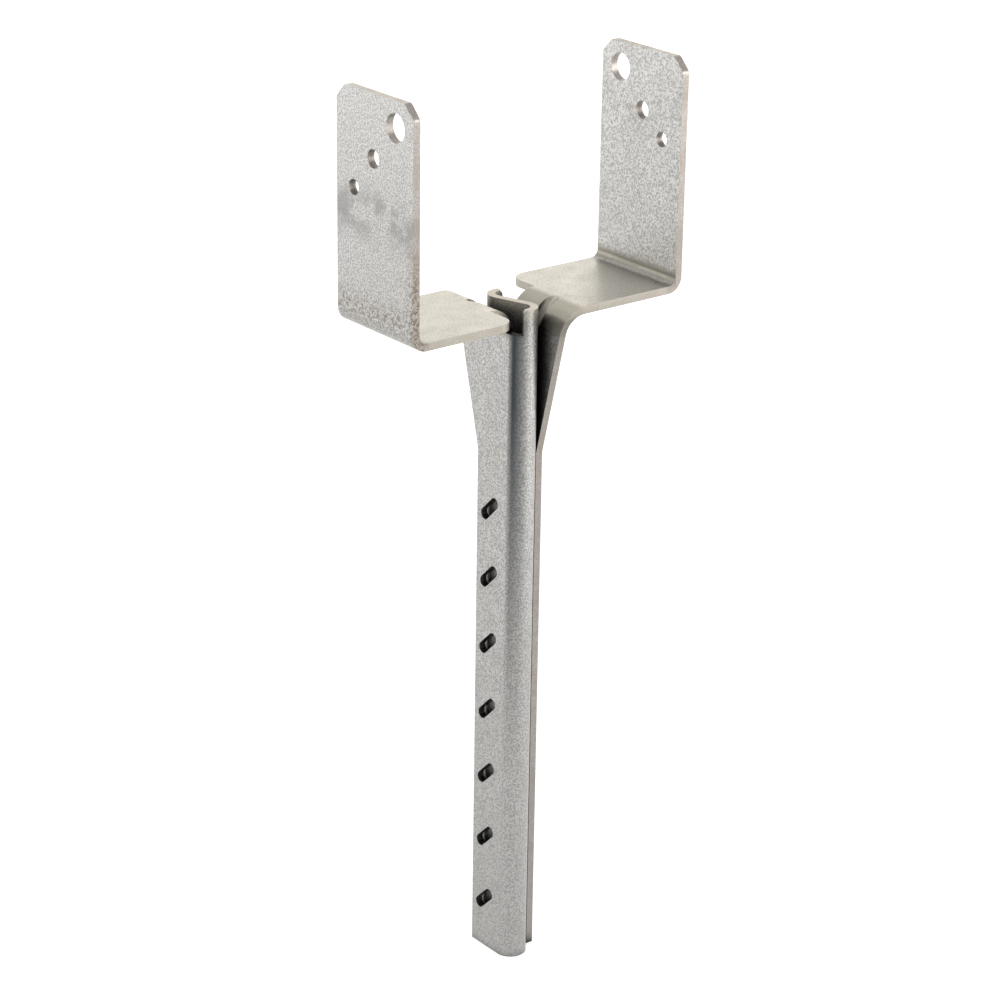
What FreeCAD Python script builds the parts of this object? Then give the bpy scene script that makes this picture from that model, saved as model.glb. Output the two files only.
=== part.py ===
import FreeCAD, Part
import math
import os

os.makedirs("parts", exist_ok=True)

Vec = FreeCAD.Vector

# Main sizes, in millimetres. X runs across the post, Y along the sheet's width, Z up.
sheet = 2.5
post_gap = 100.0
width = 38.0
upright_height = 72.0
stem_length = 226.0

# Stem: a strip folded twice into an S, as seen from above
stem_depth = 14.4
stem_width = 24.0
fold_radius = 5.25
plate_reach = 7.2

# Bends, by their inner radius
saddle_bend = 5.8
upright_bend = 2.5

# The free edge of each stem plate spreads to the full width below the saddle
flare_drop = 50.0

# Cuts that let the saddle bend beside the folded strip
relief_flat = 0.5
relief_reach = 6.0
notch_angle = 60.0
notch_round = 1.5
web_drop = 0.4
tongue_radius = 5.5

# Pressed dart across each saddle bend
dart_offset = 6.5
dart_radius = 2.2

# Upper corners of the uprights
corner_clip = 4.2
corner_round = 2.0

# Upright holes: from the edge, and down from the top
bolt_diameter = 9.0
bolt_edge = 8.7
bolt_drop = 8.1
screw_diameter = 5.8
screw_edge = 19.6
screw_drop = 19.6
nail_diameter = 4.9
nail_edge_left = 29.4
nail_drop_left = 30.3
nail_edge_right = 29.1
nail_drop_right = 27.1

# Slots that let the concrete through the stem plates
slot_count = 7
slot_pitch = 23.3
slot_first_drop = 68.5
slot_length = 10.6
slot_width = 3.8
slot_tilt = 45.0
slot_offset = 0.9

# Levels and centres that follow from the sizes
overrun = 1.0
saddle_top = stem_length
saddle_under = saddle_top - sheet
bend_start = saddle_under - saddle_bend
upright_top = saddle_top + upright_height
web_top = saddle_top - web_drop
half_width = width / 2
plate_outer = stem_depth / 2
bend_end = plate_outer + saddle_bend
relief_line = bend_end + relief_flat
upright_inner = post_gap / 2
upright_outer = upright_inner + sheet
fold_inner = fold_radius - sheet
fold_centre_y = stem_width / 2 - fold_radius
near_fold = Vec(fold_radius - plate_outer, -fold_centre_y, 0)
far_fold = near_fold * -1
half_turn = 180.0
quarter_turn = 90.0
full_turn = 360.0
axis_z = Vec(0, 0, 1)


def polar(centre, radius, degrees):
    angle = math.radians(degrees)
    return centre + Vec(radius * math.cos(angle), radius * math.sin(angle), 0)


def arc(centre, radius, start, end):
    middle = polar(centre, radius, (start + end) / 2)
    curve = Part.Arc(polar(centre, radius, start), middle, polar(centre, radius, end))
    return curve.toShape()


def side_arc(x, z, radius, start, end):
    # an arc in the XZ plane, with its angles measured from +X towards +Z
    points = []
    for degrees in (start, (start + end) / 2, end):
        angle = math.radians(degrees)
        points.append(Vec(x + radius * math.cos(angle), 0, z + radius * math.sin(angle)))
    return Part.Arc(points[0], points[1], points[2]).toShape()


def prism(edges, along):
    wire = Part.Wire(Part.__sortEdges__(edges))
    return Part.Face(wire).extrude(along)


def side_outline(points, x_from, x_to):
    # a polygon of (y, z) points, extruded along X
    corners = [Vec(x_from, y, z) for y, z in points]
    corners.append(corners[0])
    return Part.Face(Part.makePolygon(corners)).extrude(Vec(x_to - x_from, 0, 0))


def web_direction():
    # the normal of the web, which runs through the axis and is tangent to both folds
    middle_radius = fold_radius - sheet / 2
    reach = math.hypot(near_fold.x, near_fold.y)
    bearing = math.degrees(math.atan2(near_fold.y, near_fold.x))
    return bearing + math.degrees(math.acos(-middle_radius / reach))


def folded_strip(start, bottom, top):
    # near fold, web and far fold, from the angle where the near fold starts
    web = web_direction()
    near_end = full_turn + web
    far_end = half_turn + web
    far_start = start - half_turn
    edges = [
        arc(near_fold, fold_radius, start, near_end),
        Part.makeLine(polar(near_fold, fold_radius, web), polar(far_fold, fold_inner, far_end)),
        arc(far_fold, fold_inner, far_end, far_start),
        Part.makeLine(polar(far_fold, fold_inner, far_start), polar(far_fold, fold_radius, far_start)),
        arc(far_fold, fold_radius, far_start, far_end),
        Part.makeLine(polar(far_fold, fold_radius, far_end), polar(near_fold, fold_inner, web)),
        arc(near_fold, fold_inner, near_end, start),
        Part.makeLine(polar(near_fold, fold_inner, start), polar(near_fold, fold_radius, start)),
    ]
    strip = prism(edges, Vec(0, 0, top - bottom))
    strip.translate(Vec(0, 0, bottom))
    return strip


def rounded(shape, radius, places):
    # fillet the edges whose middles lie at the given places
    chosen = []
    for edge in shape.Edges:
        middle = edge.valueAt((edge.FirstParameter + edge.LastParameter) / 2)
        if any(middle.distanceToPoint(place) < 0.01 for place in places):
            chosen.append(edge)
    return shape.makeFillet(radius, chosen)


def bracket_blank():
    # stem plate, saddle and upright on the left side, at full width
    upright_x = upright_bend - upright_inner
    upright_z = saddle_top + upright_bend
    edges = [
        Part.makeLine(Vec(-plate_outer, 0, 0), Vec(-plate_outer, 0, bend_start)),
        side_arc(-bend_end, bend_start, saddle_bend, 0, quarter_turn),
        Part.makeLine(Vec(-bend_end, 0, saddle_under), Vec(upright_x, 0, saddle_under)),
        side_arc(upright_x, upright_z, upright_bend + sheet, 3 * quarter_turn, half_turn),
        Part.makeLine(Vec(-upright_outer, 0, upright_z), Vec(-upright_outer, 0, upright_top)),
        Part.makeLine(Vec(-upright_outer, 0, upright_top), Vec(-upright_inner, 0, upright_top)),
        Part.makeLine(Vec(-upright_inner, 0, upright_top), Vec(-upright_inner, 0, upright_z)),
        side_arc(upright_x, upright_z, upright_bend, half_turn, 3 * quarter_turn),
        Part.makeLine(Vec(upright_x, 0, saddle_top), Vec(-bend_end, 0, saddle_top)),
        side_arc(-bend_end, bend_start, saddle_bend + sheet, quarter_turn, 0),
        Part.makeLine(Vec(sheet - plate_outer, 0, bend_start), Vec(sheet - plate_outer, 0, 0)),
        Part.makeLine(Vec(sheet - plate_outer, 0, 0), Vec(-plate_outer, 0, 0)),
    ]
    blank = prism(edges, Vec(0, width, 0))
    blank.translate(Vec(0, -half_width, 0))
    return blank


def bracket_outline(blank):
    # free edge: narrow along the stem, then spreading up to the saddle
    flare = side_outline(
        [
            (plate_reach, -overrun),
            (plate_reach, saddle_top - flare_drop),
            (half_width, saddle_under),
            (half_width + overrun, saddle_under),
            (half_width + overrun, -overrun),
        ],
        -bend_end,
        0,
    )
    # fold side: the plate ends at the fold, and the bend a little short of it
    fold_side = side_outline(
        [
            (-half_width - overrun, -overrun),
            (-fold_centre_y, -overrun),
            (-fold_centre_y, bend_start),
            (-relief_reach, bend_start),
            (-relief_reach, saddle_top + overrun),
            (-half_width - overrun, saddle_top + overrun),
        ],
        -relief_line,
        0,
    )
    shape = blank.cut(flare).cut(fold_side)
    tongue_corner = Vec(-relief_line, -half_width, (saddle_top + saddle_under) / 2)
    return rounded(shape, tongue_radius, [tongue_corner])


def dart_rod(radius, offset):
    # a rod along the dart: it lies across the bend at 45 degrees, on the convex face
    half_way = (saddle_bend + sheet) * math.sqrt(0.5)
    length = 4 * (saddle_bend + sheet)
    along = Vec(1, 0, -1).normalize()
    middle = Vec(half_way - bend_end, offset, bend_start + half_way)
    return Part.makeCylinder(radius, length, middle - along * (length / 2), along)


def pressed_dart(shape):
    middle = sheet / 2
    reach = 2 * (saddle_bend + sheet)
    lower = Vec(middle - plate_outer, 0, bend_start - reach)
    outer = Vec(-bend_end - reach, 0, saddle_under + middle)
    edges = [
        Part.makeLine(lower, Vec(lower.x, 0, bend_start)),
        side_arc(-bend_end, bend_start, saddle_bend + middle, 0, quarter_turn),
        Part.makeLine(Vec(-bend_end, 0, outer.z), outer),
        Part.makeLine(outer, lower),
    ]
    half_rib = dart_radius + sheet
    concave_side = prism(edges, Vec(0, 2 * half_rib, 0))
    concave_side.translate(Vec(0, dart_offset - half_rib, 0))
    rib = dart_rod(half_rib, dart_offset).common(concave_side)
    return shape.fuse(rib).cut(dart_rod(dart_radius, dart_offset)).removeSplitter()


def upright_corners(shape):
    middle = -(upright_inner + upright_outer) / 2
    low = upright_top - corner_clip
    places = []
    for side in (-1, 1):
        edge = side * half_width
        inner = side * (half_width - corner_clip)
        corner = side_outline(
            [
                (edge, low),
                (inner, upright_top),
                (inner, upright_top + overrun),
                (edge + side * overrun, upright_top + overrun),
                (edge + side * overrun, low),
            ],
            -upright_outer - overrun,
            -upright_inner + overrun,
        )
        shape = shape.cut(corner)
        places.append(Vec(middle, edge, low))
        places.append(Vec(middle, inner, upright_top))
    return rounded(shape, corner_round, places)


def upright_hole(diameter, edge, drop):
    # a hole through the left upright, placed from its near edge and its top
    start = Vec(-upright_outer - overrun, edge - half_width, upright_top - drop)
    return Part.makeCylinder(diameter / 2, sheet + 2 * overrun, start, Vec(1, 0, 0))


def plate_slots():
    # slanted slots through the left stem plate, rising towards the near side
    slots = []
    straight = slot_length - slot_width
    for index in range(slot_count):
        level = saddle_top - slot_first_drop - index * slot_pitch
        box = Part.makeBox(stem_depth, straight, slot_width, Vec(0, -straight / 2, -slot_width / 2))
        ends = []
        for side in (-1, 1):
            start = Vec(0, side * straight / 2, 0)
            ends.append(Part.makeCylinder(slot_width / 2, stem_depth, start, Vec(1, 0, 0)))
        slot = box.fuse(ends).removeSplitter()
        slot.rotate(Vec(0, 0, 0), Vec(1, 0, 0), -slot_tilt)
        slot.translate(Vec(sheet - plate_outer - stem_depth + overrun, slot_offset, level))
        slots.append(slot)
    return slots


def turned(shape):
    # the same piece on the other side: half a turn about the stem's axis
    copy = shape.copy()
    copy.rotate(Vec(0, 0, 0), axis_z, half_turn)
    return copy


bracket = upright_corners(pressed_dart(bracket_outline(bracket_blank())))
bracket = bracket.cut(plate_slots())
bracket = bracket.cut(upright_hole(bolt_diameter, bolt_edge, bolt_drop))
bracket = bracket.cut(upright_hole(screw_diameter, screw_edge, screw_drop))
left_bracket = bracket.cut(upright_hole(nail_diameter, nail_edge_left, nail_drop_left))
right_bracket = turned(bracket.cut(upright_hole(nail_diameter, nail_edge_right, nail_drop_right)))

lower_strip = folded_strip(half_turn, 0, bend_start)
notch_start = half_turn + notch_angle
upper_strip = folded_strip(notch_start, bend_start, web_top)
wall_middle = polar(near_fold, fold_radius - sheet / 2, notch_start)
wall_top = Vec(wall_middle.x, wall_middle.y, web_top)
wall_top_far = Vec(-wall_middle.x, -wall_middle.y, web_top)
upper_strip = rounded(upper_strip, notch_round, [wall_top, wall_top_far])

post_base = left_bracket.fuse([right_bracket, lower_strip, upper_strip]).removeSplitter()
if post_base.ShapeType == "Compound" and len(post_base.Solids) == 1:
    post_base = post_base.Solids[0]
post_base.exportStep("parts/post_base.step")

box = post_base.BoundBox
print("solids", len(post_base.Solids), "valid", post_base.isValid(), "volume", round(post_base.Volume, 1))
print("box", round(box.XLength, 3), round(box.YLength, 3), round(box.ZLength, 3))
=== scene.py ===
import math

import bmesh
import bpy
from mathutils import Matrix, Vector
from mathutils.bvhtree import BVHTree


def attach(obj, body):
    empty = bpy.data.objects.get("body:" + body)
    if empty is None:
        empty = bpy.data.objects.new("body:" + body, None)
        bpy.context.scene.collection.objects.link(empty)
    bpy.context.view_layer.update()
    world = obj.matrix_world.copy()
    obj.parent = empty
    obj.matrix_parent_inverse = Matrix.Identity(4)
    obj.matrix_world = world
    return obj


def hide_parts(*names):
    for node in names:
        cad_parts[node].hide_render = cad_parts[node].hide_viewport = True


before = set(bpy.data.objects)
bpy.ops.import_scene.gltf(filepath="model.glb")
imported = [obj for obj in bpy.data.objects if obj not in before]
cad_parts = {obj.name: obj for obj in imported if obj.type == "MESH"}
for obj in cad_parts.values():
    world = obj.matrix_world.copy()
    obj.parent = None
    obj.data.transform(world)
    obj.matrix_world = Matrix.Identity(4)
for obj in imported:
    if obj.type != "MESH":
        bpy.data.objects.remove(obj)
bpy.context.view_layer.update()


print("frame loaded")

# the sheet: its edge rounding, how zinc, wear and marks look, and where shade is painted onto it
# lengths are in metres, and heights start at the saddles' top
# a pair says where a fade starts and ends; three numbers are a band's two ends and its soft margin
sheetLook = {
    "edgeRound": 0.00022,
    "edgeSteps": 2,
    "edgeAngle": 40.0,
    "flatAngle": 0.5,
    "weldDistance": 0.000002,
    "sheetThickness": 0.0025,
    "rimDepth": 1.15,
    "saddleHeight": 0.226,
    "zincPale": (0.61, 0.605, 0.592, 1.0),
    "zincDark": (0.295, 0.29, 0.282, 1.0),
    "stain": (0.16, 0.12, 0.08, 1.0),
    "warm": (0.47, 0.44, 0.36, 1.0),
    "rim": (0.29, 0.252, 0.222, 1.0),
    # colours of the painted shade on the bends and on the near fold
    "bend": (0.20, 0.19, 0.155, 1.0),
    "fold": (0.052, 0.058, 0.062, 1.0),
    "recess": (0.02, 0.019, 0.017, 1.0),
    "grainSize": 1850.0,
    "mottleSize": 210.0,
    "cloudSize": 45.0,
    "patchSize": 95.0,
    "speckSize": 900.0,
    "grainDepth": 0.88,
    "cloudDepth": 0.22,
    "rubDepth": 0.75,
    "dullDepth": 0.375,
    "stainDepth": 0.9,
    "bendStainDepth": 0.75,
    # how strong the painted shade is on the saddle bends, the inner corners and the near fold
    "bendDepth": 0.82,
    "cornerShadeDepth": 0.95,
    "foldDepth": 1.0,
    "saddleWarmth": 0.4,
    # how dark the painted shade gets at the stem's foot
    "footShadeDepth": 0.35,
    "leftUpright": (-0.046, -0.049),
    "rightUpright": (0.046, 0.049),
    "rubbedBand": (0.028, 0.043, 0.004),
    "dulledBand": (0.045, 0.062, 0.006),
    "nearEdge": (-0.0150, -0.0185),
    "lowOnUpright": (0.036, 0.014),
    "aboveBend": (0.001, 0.009, 0.003),
    # where the painted shade lies on the saddle bends, the inner corners and the near fold
    "saddleBend": (0.0040, 0.0120, 0.0012),
    "saddleBendTop": (-0.0105, -0.0075),
    "cornerStart": (0.0465, 0.0485),
    "cornerEnd": (0.0503, 0.0500),
    "cornerHeight": (0.0002, 0.0038, 0.0012),
    "foldStart": (-0.00745, -0.0067),
    "foldEnd": (-0.0064, -0.0026),
    "foldFront": (-0.0071, -0.0078),
    "foldRise": (-0.160, -0.030),
    "saddlePlate": (-0.0035, 0.0006, 0.0005),
    "saddleReach": (0.0475, 0.0455),
    # where the painted shade towards the stem's foot starts and ends
    "footShadeFade": (-0.080, -0.215),
    "recessReach": 0.007,
    "recessSamples": 8,
    "gapShade": (0.64, 0.28),
    "slotShade": (0.68, 0.48),
    "metallic": 0.8,
    "roughLow": 0.31,
    "roughHigh": 0.47,
    "wornRoughness": 0.16,
    "grainHeight": 0.00005,
    "ridgeHeight": 0.00016,
    "grainBump": 0.55,
    "ridgeBump": 0.30,
}


def nodeMaker(material):
    tree = material.node_tree
    nodes = tree.nodes
    links = tree.links

    def make(kind, **inputs):
        node = nodes.new(kind)
        for name, value in inputs.items():
            socket = node.inputs[name.replace("_", " ")]
            if isinstance(value, bpy.types.NodeSocket):
                links.new(value, socket)
            else:
                socket.default_value = value
        return node

    return make, links


def noise(make, coords, scale, detail=3.0, roughness=0.55):
    node = make("ShaderNodeTexNoise", Vector=coords, Scale=scale, Detail=detail, Roughness=roughness)
    return node.outputs["Fac"]


def ramp(make, value, low, high, bottom=0.0, top=1.0):
    # bottom at low and top at high, in a straight line and held beyond both
    node = make("ShaderNodeMapRange", Value=value)
    limits = {"From Min": low, "From Max": high, "To Min": bottom, "To Max": top}
    for name, number in limits.items():
        node.inputs[name].default_value = number
    node.clamp = True
    return node.outputs["Result"]


def maths(make, operation, first, second):
    node = make("ShaderNodeMath")
    node.operation = operation
    for index, value in enumerate((first, second)):
        if isinstance(value, bpy.types.NodeSocket):
            node.id_data.links.new(value, node.inputs[index])
        else:
            node.inputs[index].default_value = value
    return node.outputs["Value"]


def band(make, value, low, high, soft):
    # one inside low to high, fading out over the soft distance on both sides
    rise = ramp(make, value, low - soft, low + soft)
    fall = ramp(make, value, high - soft, high + soft, 1.0, 0.0)
    return maths(make, "MULTIPLY", rise, fall)


def times(make, *factors):
    result = factors[0]
    for factor in factors[1:]:
        result = maths(make, "MULTIPLY", result, factor)
    return result


def mixed(make, factor, first, second):
    node = make("ShaderNodeMix")
    node.data_type = "RGBA"
    links = node.id_data.links
    for name, value in (("Factor_Float", factor), ("A_Color", first), ("B_Color", second)):
        socket = next(s for s in node.inputs if s.identifier == name)
        if isinstance(value, bpy.types.NodeSocket):
            links.new(value, socket)
        else:
            socket.default_value = value
    return next(s for s in node.outputs if s.identifier == "Result_Color")


def showsWhite(nodes, links):
    # one for camera, glossy and transmission rays, which all meet the white background
    ray = nodes.new("ShaderNodeLightPath")
    result = ray.outputs["Is Camera Ray"]
    for name in ("Is Glossy Ray", "Is Transmission Ray"):
        either = nodes.new("ShaderNodeMath")
        either.operation = "MAXIMUM"
        links.new(result, either.inputs[0])
        links.new(ray.outputs[name], either.inputs[1])
        result = either.outputs["Value"]
    return result


def zincTone(make, look, pattern):
    mottled = ramp(make, pattern["mottle"], 0.36, 0.66, 0.68, 0.90)
    tone = mixed(make, mottled, look["zincDark"], look["zincPale"])
    clouded = ramp(make, pattern["cloud"], 0.45, 0.80, 0.0, look["cloudDepth"])
    tone = mixed(make, clouded, tone, look["warm"])
    speckled = ramp(make, pattern["grain"], 0.45, 0.56, 0.0, look["grainDepth"])
    return mixed(make, speckled, tone, look["zincDark"])


def wornAreas(make, look, place, patches):
    # rubbed on the left upright, and half as much dulled on the right one
    onLeft = ramp(make, place["across"], *look["leftUpright"])
    onRight = ramp(make, place["across"], *look["rightUpright"])
    rubbedBand = band(make, place["height"], *look["rubbedBand"])
    dulledBand = band(make, place["height"], *look["dulledBand"])
    rubbed = times(make, rubbedBand, onLeft, ramp(make, patches, 0.44, 0.56))
    dulled = times(make, dulledBand, onRight, ramp(make, patches, 0.50, 0.62))
    rubbed = times(make, rubbed, look["rubDepth"])
    dulled = times(make, dulled, look["dullDepth"])
    return maths(make, "MAXIMUM", rubbed, dulled)


def stainedAreas(make, look, place):
    # brown specks along the left upright's near edge and just above its bend
    nearEdge = ramp(make, place["depth"], *look["nearEdge"])
    lowDown = ramp(make, place["height"], *look["lowOnUpright"])
    aboveBend = band(make, place["height"], *look["aboveBend"])
    aboveBend = times(make, aboveBend, look["bendStainDepth"])
    area = maths(make, "MAXIMUM", times(make, nearEdge, lowDown), aboveBend)
    onLeft = ramp(make, place["across"], *look["leftUpright"])
    specks = noise(make, place["coords"], look["speckSize"], 3.0, 0.7)
    specks = ramp(make, specks, 0.47, 0.57)
    return times(make, area, onLeft, specks, look["stainDepth"])


def foldedTone(make, look, place, tone):
    # painted shade: the saddle bends, the concave corners where the saddles bend up into the
    # uprights, and the near fold are darkened; on the fold it is darkest just under the saddles
    # painted shade: the saddle bends are darkened
    bendShadeMask = band(make, place["reach"], *look["saddleBend"])
    bendShadeMask = times(make, bendShadeMask, ramp(make, place["height"], *look["saddleBendTop"]))
    tone = mixed(make, times(make, bendShadeMask, look["bendDepth"]), tone, look["bend"])
    # painted shade in the concave corners where the saddles bend up into the uprights
    cornerShadeMask = times(
        make,
        ramp(make, place["reach"], *look["cornerStart"]),
        ramp(make, place["reach"], *look["cornerEnd"]),
        band(make, place["height"], *look["cornerHeight"]),
    )
    tone = mixed(make, times(make, cornerShadeMask, look["cornerShadeDepth"]), tone, look["bend"])
    # painted shade on the near fold, darkest just under the saddles and fading towards the foot
    foldShadeMask = times(
        make,
        ramp(make, place["across"], *look["foldStart"]),
        ramp(make, place["across"], *look["foldEnd"], 1.0, 0.0),
        ramp(make, place["depth"], *look["foldFront"]),
        ramp(make, place["height"], *look["foldRise"], 0.0, look["foldDepth"]),
    )
    return mixed(make, foldShadeMask, tone, look["fold"])


def zincMaterial(look):
    material = bpy.data.materials.new("galvanisedZinc")
    material.use_nodes = True
    material.node_tree.nodes.clear()
    make, links = nodeMaker(material)
    coords = make("ShaderNodeTexCoord").outputs["Object"]
    parts = make("ShaderNodeSeparateXYZ", Vector=coords)
    place = {
        "coords": coords,
        "across": parts.outputs[0],
        "reach": maths(make, "ABSOLUTE", parts.outputs[0], 0.0),
        "depth": parts.outputs[1],
        "height": maths(make, "SUBTRACT", parts.outputs[2], look["saddleHeight"]),
    }
    pattern = {
        "grain": noise(make, coords, look["grainSize"], 2.0, 0.5),
        "mottle": noise(make, coords, look["mottleSize"], 4.0, 0.6),
        "cloud": noise(make, coords, look["cloudSize"], 3.0, 0.5),
        "patches": noise(make, coords, look["patchSize"], 5.0, 0.7),
    }

    tone = zincTone(make, look, pattern)
    worn = wornAreas(make, look, place, pattern["patches"])
    tone = mixed(make, worn, tone, look["zincDark"])

    # sheared edges are browner than the faces
    rim = make("ShaderNodeAttribute")
    rim.attribute_name = "rim"
    uneven = ramp(make, pattern["patches"], 0.35, 0.65, 0.55, 0.9)
    tone = mixed(make, times(make, rim.outputs["Fac"], uneven), tone, look["rim"])

    tone = mixed(make, stainedAreas(make, look, place), tone, look["stain"])
    # painted shade on the bends, in the inner corners and on the near fold
    tone = foldedTone(make, look, place, tone)

    # the saddles have a faint warm cast
    onSaddle = times(
        make,
        band(make, place["height"], *look["saddlePlate"]),
        ramp(make, place["reach"], *look["saddleReach"]),
        look["saddleWarmth"],
    )
    tone = mixed(make, onSaddle, tone, look["warm"])

    # painted shade: the stem is darkened towards its foot
    footShade = ramp(make, place["height"], *look["footShadeFade"], 0.0, look["footShadeDepth"])
    tone = mixed(make, footShade, tone, look["zincDark"])

    # light hardly reaches into the slots and between the folds
    hidden = make("ShaderNodeAmbientOcclusion", Distance=look["recessReach"])
    hidden.samples = look["recessSamples"]
    inGap = ramp(make, hidden.outputs["AO"], *look["gapShade"])
    inSlot = ramp(make, hidden.outputs["AO"], *look["slotShade"])
    inSlot = times(make, rim.outputs["Fac"], inSlot)
    tone = mixed(make, maths(make, "MAXIMUM", inGap, inSlot), tone, look["recess"])

    rough = ramp(make, pattern["mottle"], 0.3, 0.7, look["roughLow"], look["roughHigh"])
    rough = maths(make, "ADD", rough, times(make, worn, look["wornRoughness"]))

    fine = make(
        "ShaderNodeBump",
        Height=pattern["grain"],
        Distance=look["grainHeight"],
        Strength=look["grainBump"],
    )
    broad = make(
        "ShaderNodeBump",
        Height=pattern["mottle"],
        Distance=look["ridgeHeight"],
        Strength=look["ridgeBump"],
        Normal=fine.outputs["Normal"],
    )

    shader = make("ShaderNodeBsdfPrincipled", Metallic=look["metallic"])
    links.new(broad.outputs["Normal"], shader.inputs["Normal"])
    links.new(tone, shader.inputs["Base Color"])
    links.new(rough, shader.inputs["Roughness"])
    output = make("ShaderNodeOutputMaterial")
    links.new(shader.outputs["BSDF"], output.inputs["Surface"])
    return material


def markRims(mesh, look):
    # a face is part of a sheared rim where the metal behind it is deeper than the sheet
    thickness = look["sheetThickness"]
    inset = thickness * 0.01
    farthest = thickness * 8.0
    corners = [vertex.co.copy() for vertex in mesh.vertices]
    mesh.calc_loop_triangles()
    widest = {}
    for triangle in mesh.loop_triangles:
        best = widest.get(triangle.polygon_index)
        if best is None or triangle.area > best[0]:
            middle = sum((corners[index] for index in triangle.vertices), Vector()) / 3
            widest[triangle.polygon_index] = (triangle.area, middle)
    triangles = [tuple(triangle.vertices) for triangle in mesh.loop_triangles]
    tree = BVHTree.FromPolygons(corners, triangles)
    rim = mesh.attributes.new("rim", "FLOAT", "FACE")
    for face in mesh.polygons:
        start = widest[face.index][1] - face.normal * inset
        hit = tree.ray_cast(start, -face.normal, farthest)
        deep = hit[0] is None or hit[3] > thickness * look["rimDepth"]
        rim.data[face.index].value = 1.0 if deep else 0.0


def softEdgedCopy(source, look):
    # the sheet again, with its sheared edges eased a little, inside the same box
    mesh = source.data.copy()
    mesh.name = "foldedSheetMesh"
    mesh.transform(source.matrix_world)
    build = bmesh.new()
    build.from_mesh(mesh)
    bmesh.ops.remove_doubles(build, verts=build.verts, dist=look["weldDistance"])
    for face in build.faces:
        face.smooth = True
    flat = math.radians(look["flatAngle"])
    bmesh.ops.dissolve_limit(build, angle_limit=flat, verts=build.verts, edges=build.edges)
    build.to_mesh(mesh)
    build.free()
    copy = bpy.data.objects.new("foldedSheet", mesh)
    bpy.context.collection.objects.link(copy)
    bevel = copy.modifiers.new("easedEdges", "BEVEL")
    bevel.width = look["edgeRound"]
    bevel.segments = look["edgeSteps"]
    bevel.limit_method = "ANGLE"
    bevel.angle_limit = math.radians(look["edgeAngle"])
    bevel.use_clamp_overlap = True
    flatten = copy.modifiers.new("flatFaces", "WEIGHTED_NORMAL")
    flatten.mode = "FACE_AREA"
    flatten.weight = 100
    flatten.keep_sharp = True
    bpy.context.view_layer.update()
    graph = bpy.context.evaluated_depsgraph_get()
    finished = bpy.data.meshes.new_from_object(copy.evaluated_get(graph))
    copy.modifiers.clear()
    copy.data = finished
    markRims(finished, look)
    return copy


zinc = zincMaterial(sheetLook)
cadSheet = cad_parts["post_base"]
for slot in cadSheet.material_slots:
    slot.material = zinc
sheet = softEdgedCopy(cadSheet, sheetLook)
sheet.data.materials.clear()
sheet.data.materials.append(zinc)
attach(sheet, "root")
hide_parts("post_base")
print("sheet made")

# the floor: pale and plain, and white to camera and mirror rays apart from the object's shadow
stageLook = {"size": 12.0, "tone": 0.80, "seen": 0.72}


def stageMaterial(look):
    material = bpy.data.materials.new("paleStage")
    material.use_nodes = True
    material.node_tree.nodes.clear()
    make, links = nodeMaker(material)
    grey = look["tone"]
    diffuse = make("ShaderNodeBsdfDiffuse", Color=(grey, grey, grey, 1.0))
    glow = make("ShaderNodeEmission", Color=(1.0, 1.0, 1.0, 1.0), Strength=look["seen"])
    added = make("ShaderNodeAddShader")
    links.new(diffuse.outputs["BSDF"], added.inputs[0])
    links.new(glow.outputs["Emission"], added.inputs[1])
    chosen = make("ShaderNodeMixShader")
    links.new(showsWhite(material.node_tree.nodes, links), chosen.inputs["Fac"])
    links.new(diffuse.outputs["BSDF"], chosen.inputs[1])
    links.new(added.outputs["Shader"], chosen.inputs[2])
    output = make("ShaderNodeOutputMaterial")
    links.new(chosen.outputs["Shader"], output.inputs["Surface"])
    return material


def makeFloor(look):
    half = look["size"] / 2
    mesh = bpy.data.meshes.new("floorMesh")
    corners = [(-half, -half, 0.0), (half, -half, 0.0), (half, half, 0.0), (-half, half, 0.0)]
    mesh.from_pydata(corners, [], [(0, 1, 2, 3)])
    floor = bpy.data.objects.new("floor", mesh)
    bpy.context.collection.objects.link(floor)
    floor.data.materials.append(stageMaterial(look))


makeFloor(stageLook)

# lights: place, aim, size, power in watts and colour of each soft panel
lightLook = {
    "left": {
        "place": (-0.95, 1.12, 0.26),
        "aim": (0.0, 0.0, 0.12),
        "size": (0.9, 1.3),
        "power": 7.6,
        "colour": (1.0, 0.985, 0.965),
    },
    "right": {
        "place": (1.0, -0.95, 0.40),
        "aim": (0.0, 0.0, 0.10),
        "size": (0.55, 1.2),
        "power": 11.0,
        "colour": (1.0, 0.98, 0.95),
    },
    "back": {
        "place": (0.85, 1.15, 0.50),
        "aim": (0.0, 0.0, 0.17),
        "size": (1.6, 0.9),
        "power": 4.4,
        "colour": (1.0, 0.94, 0.80),
    },
    "top": {
        "place": (-0.15, 0.35, 1.35),
        "aim": (0.0, 0.0, 0.15),
        "size": (1.2, 0.8),
        "power": 4.3,
        "colour": (1.0, 0.97, 0.90),
    },
}


def makeLight(name, look):
    data = bpy.data.lights.new(name + "Panel", "AREA")
    data.shape = "RECTANGLE"
    data.size, data.size_y = look["size"]
    data.energy = look["power"]
    data.color = look["colour"]
    light = bpy.data.objects.new(name + "Panel", data)
    place = Vector(look["place"])
    light.location = place
    light.rotation_mode = "QUATERNION"
    light.rotation_quaternion = (Vector(look["aim"]) - place).to_track_quat("-Z", "Y")
    bpy.context.collection.objects.link(light)


for lightName, panelLook in lightLook.items():
    makeLight(lightName, panelLook)

# the world: a weak cool fill light, and plain white to camera and mirror rays
worldLook = {"strength": 0.22, "tint": (0.93, 0.95, 1.0, 1.0), "white": (1.0, 1.0, 1.0, 1.0)}


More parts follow.
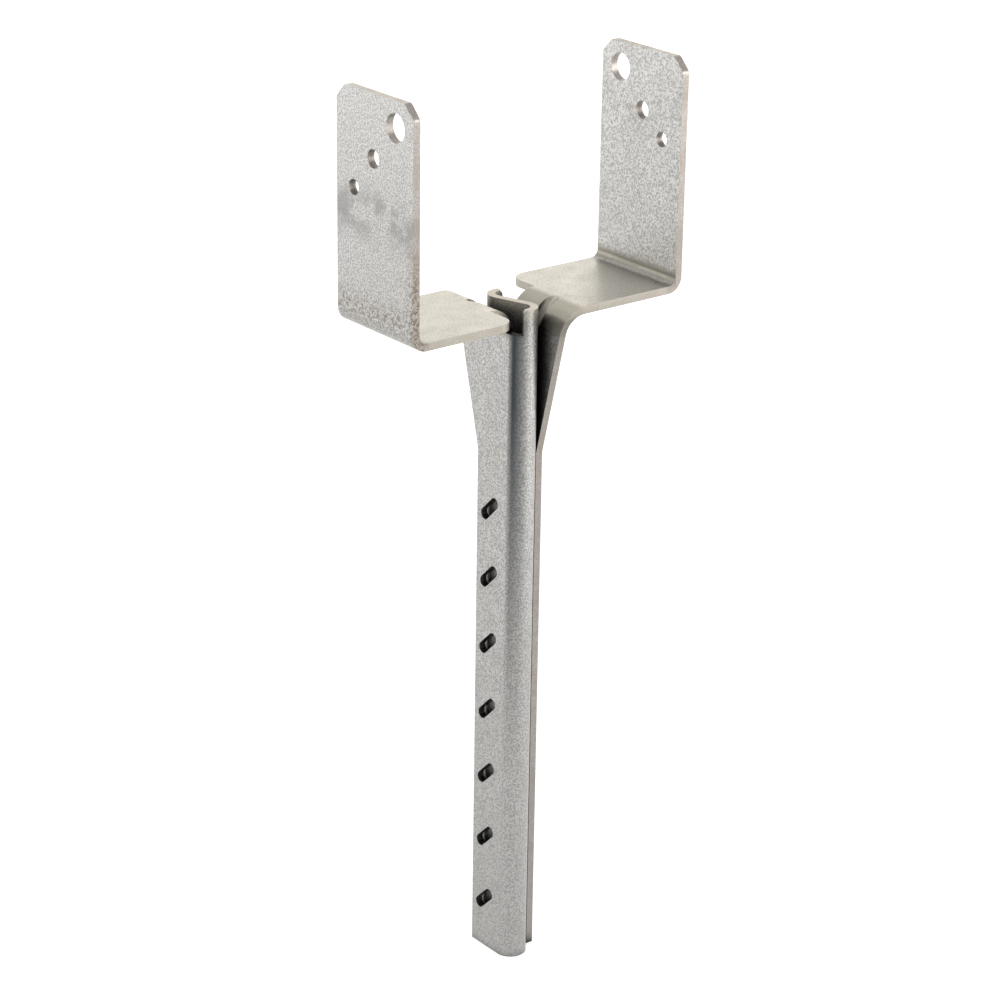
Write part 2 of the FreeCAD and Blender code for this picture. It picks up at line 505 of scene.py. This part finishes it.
def makeWorld(look):
    world = bpy.data.worlds.new("softStudio")
    world.use_nodes = True
    world.node_tree.nodes.clear()
    nodes = world.node_tree.nodes
    links = world.node_tree.links
    lit = nodes.new("ShaderNodeBackground")
    lit.inputs["Color"].default_value = look["tint"]
    lit.inputs["Strength"].default_value = look["strength"]
    seen = nodes.new("ShaderNodeBackground")
    seen.inputs["Color"].default_value = look["white"]
    chosen = nodes.new("ShaderNodeMixShader")
    links.new(showsWhite(nodes, links), chosen.inputs["Fac"])
    links.new(lit.outputs["Background"], chosen.inputs[1])
    links.new(seen.outputs["Background"], chosen.inputs[2])
    output = nodes.new("ShaderNodeOutputWorld")
    links.new(chosen.outputs["Shader"], output.inputs["Surface"])
    bpy.context.scene.world = world


makeWorld(worldLook)
print("lights made")

# the camera: angles in degrees, lengths in metres, lens and sensor in millimetres
viewFrom = {
    "azimuth": -38.498,
    "elevation": 21.75,
    "roll": 0.889,
    "distance": 0.94152,
    "sideways": -0.00292,
    "aimHeight": 0.159,
    "lens": 106.981,
    "sensor": 36.0,
    "nearest": 0.01,
    "farthest": 50.0,
}


def makeCamera(look):
    turn = math.radians(look["azimuth"])
    tilt = math.radians(look["elevation"])
    roll = math.radians(look["roll"])
    right = Vector((math.cos(turn), math.sin(turn), 0.0))
    flat = Vector((math.sin(turn), -math.cos(turn), 0.0))
    back = flat * math.cos(tilt) + Vector((0.0, 0.0, math.sin(tilt)))
    up = back.cross(right)
    target = right * look["sideways"] + Vector((0.0, 0.0, look["aimHeight"]))
    rolledRight = right * math.cos(roll) + up * math.sin(roll)
    rolledUp = up * math.cos(roll) - right * math.sin(roll)
    data = bpy.data.cameras.new("camera")
    data.sensor_width = look["sensor"]
    data.lens = look["lens"]
    data.clip_start = look["nearest"]
    data.clip_end = look["farthest"]
    camera = bpy.data.objects.new("camera", data)
    place = Matrix.Translation(target + back * look["distance"])
    turned = Matrix((rolledRight, rolledUp, back)).transposed().to_4x4()
    camera.matrix_world = place @ turned
    bpy.context.collection.objects.link(camera)
    bpy.context.scene.camera = camera


makeCamera(viewFrom)
bpy.context.scene.view_settings.view_transform = "Standard"
